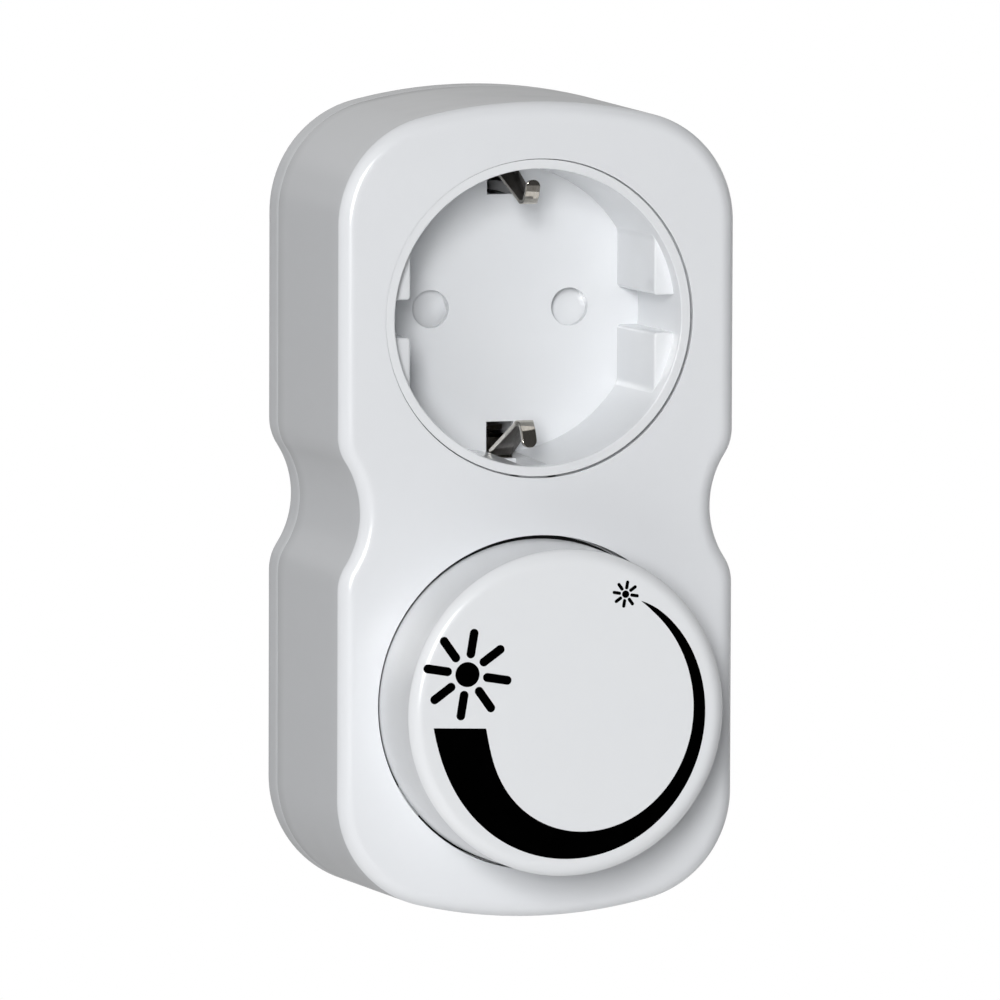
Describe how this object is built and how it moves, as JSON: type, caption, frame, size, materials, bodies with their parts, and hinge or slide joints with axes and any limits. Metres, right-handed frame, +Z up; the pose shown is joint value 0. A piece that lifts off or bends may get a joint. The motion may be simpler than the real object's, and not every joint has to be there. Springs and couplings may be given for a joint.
{
  "type": "plug-in dimmer",
  "caption": "Waisted white plug-in dimmer with an earthed recessed pin socket above a large rotary knob and an earthed round-pin plug at the rear.",
  "frame": {"origin": "centre of the plug's end face, midway between the two plug pins, on the socket's axis", "axes": "+X right, +Y into the wall along the plug pins, +Z up; the front faces -Y"},
  "size_m": [0.0546, 0.0827, 0.1075],
  "materials": {
    "housing_plastic": "smooth moulded",
    "insert_plastic": "smooth moulded",
    "shutter_plastic": "smooth moulded",
    "knob_plastic": "smooth moulded",
    "nickel": "bright nickel plate",
    "contact_brass": "stamped",
    "steel": "zinc plated",
    "aluminium": "stamped",
    "copper_wire": "enamelled",
    "ferrite": "sintered",
    "board": "solder resist",
    "black_epoxy": "moulded",
    "yellow_case": "moulded",
    "red_case": "dipped",
    "blue_glass": "coated",
    "tan_lacquer": "lacquered",
    "phenolic": "laminate",
    "fuse_glass": "clear",
    "lead_brown": "PVC sleeve",
    "lead_black": "PVC sleeve"
  },
  "bodies": {
    "body": {"front_housing": "housing_plastic", "rear_cover": "housing_plastic", "socket_insert": "insert_plastic", "shutter_spring": "steel", "shutter_clip": "steel", "earth_strip_upper": "nickel", "earth_strip_lower": "nickel", "earth_link": "nickel", "contact_live": "contact_brass", "contact_neutral": "contact_brass", "plug_pin_live": "nickel", "plug_pin_neutral": "nickel", "pot_body": "steel", "pot_track": "phenolic", "pot_washer": "steel", "pot_nut": "contact_brass", "circuit_board": "board", "board_screws": "steel", "triac": "black_epoxy", "triac_screw": "steel", "heat_sink": "aluminium", "choke_core": "ferrite", "choke_winding": "copper_wire", "film_capacitor": "yellow_case", "timing_capacitor": "red_case", "diac": "blue_glass", "resistors": "tan_lacquer", "fuse_tube": "fuse_glass", "fuse_caps": "nickel", "fuse_clips": "contact_brass", "lead_live": "lead_brown", "lead_switched": "lead_black", "housing_screws": "steel"},
    "knob": {"knob": "knob_plastic", "pot_shaft": "steel"},
    "shutter": {"shutter": "shutter_plastic"},
    "upper_earth_clip": {"earth_clip_upper": "nickel"},
    "lower_earth_clip": {"earth_clip_lower": "nickel"}
  },
  "joints": [
    {"name": "knob_turn", "type": "hinge", "parent": "body", "child": "knob", "pos_m": [0, -0.0499, -0.05025], "axis": [0, 1, 0], "range_deg": [0, 270]},
    {"name": "shutter_turn", "type": "hinge", "parent": "body", "child": "shutter", "pos_m": [0, -0.0294, 0], "axis": [0, 1, 0], "range_deg": [0, 42], "stiffness_Nm_per_rad": 0.003, "springref_deg": -17.19, "deforming": ["shutter_spring"]},
    {"name": "upper_clip_flex", "type": "hinge", "parent": "body", "child": "upper_earth_clip", "pos_m": [0, -0.0316, 0.0194], "axis": [-1, 0, 0], "range_deg": [0, 8], "stiffness_Nm_per_rad": 0.5},
    {"name": "lower_clip_flex", "type": "hinge", "parent": "body", "child": "lower_earth_clip", "pos_m": [0, -0.0316, -0.0194], "axis": [1, 0, 0], "range_deg": [0, 8], "stiffness_Nm_per_rad": 0.5}
  ]
}
